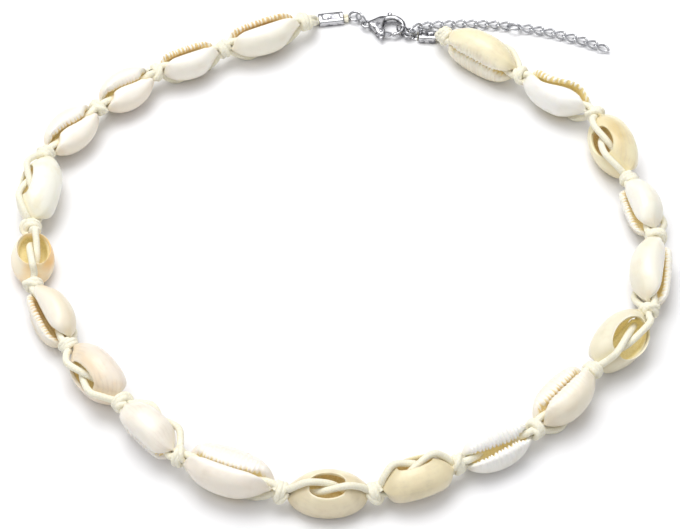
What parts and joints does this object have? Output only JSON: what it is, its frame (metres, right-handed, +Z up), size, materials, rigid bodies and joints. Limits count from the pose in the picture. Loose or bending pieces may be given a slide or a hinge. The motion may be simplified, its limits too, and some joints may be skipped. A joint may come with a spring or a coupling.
{
  "type": "shell necklace",
  "caption": "Choker necklace of cut cowrie shells knotted onto two cotton strands, with folded crimps, a lobster clasp and a free extension chain.",
  "frame": {"origin": "middle of the bounding box, on the surface that the necklace lies on", "axes": "+Z up from the surface, -Y the front of the loop opposite the clasp, +X to the right as seen from the front"},
  "size_m": [0.147, 0.1446, 0.0107],
  "materials": {
    "shell": "polished",
    "cord": "waxed",
    "metal": "polished"
  },
  "bodies": {
    "necklace": {"shell_01": "shell", "shell_02": "shell", "shell_03": "shell", "shell_04": "shell", "shell_05": "shell", "shell_06": "shell", "shell_07": "shell", "shell_08": "shell", "shell_09": "shell", "shell_10": "shell", "shell_11": "shell", "shell_12": "shell", "shell_13": "shell", "shell_14": "shell", "shell_15": "shell", "shell_16": "shell", "shell_17": "shell", "shell_18": "shell", "shell_19": "shell", "shell_20": "shell", "knot_00": "cord", "knot_01": "cord", "knot_02": "cord", "knot_03": "cord", "knot_04": "cord", "knot_05": "cord", "knot_06": "cord", "knot_07": "cord", "knot_08": "cord", "knot_09": "cord", "knot_10": "cord", "knot_11": "cord", "knot_12": "cord", "knot_13": "cord", "knot_14": "cord", "knot_15": "cord", "knot_16": "cord", "knot_17": "cord", "knot_18": "cord", "knot_19": "cord", "knot_20": "cord", "strand_a": "cord", "strand_b": "cord", "crimp_left": "metal", "crimp_right": "metal", "jump_ring_left": "metal", "jump_ring_right": "metal", "clasp_body": "metal", "extension_chain": "metal"},
    "lever": {"clasp_lever": "metal"}
  },
  "joints": [
    {"name": "lever_pivot", "type": "hinge", "parent": "necklace", "child": "lever", "pos_m": [0.00927, 0.06467, 0.0014], "axis": [0, 0, 1], "range_deg": [0, 25], "stiffness_Nm_per_rad": 0.005}
  ]
}
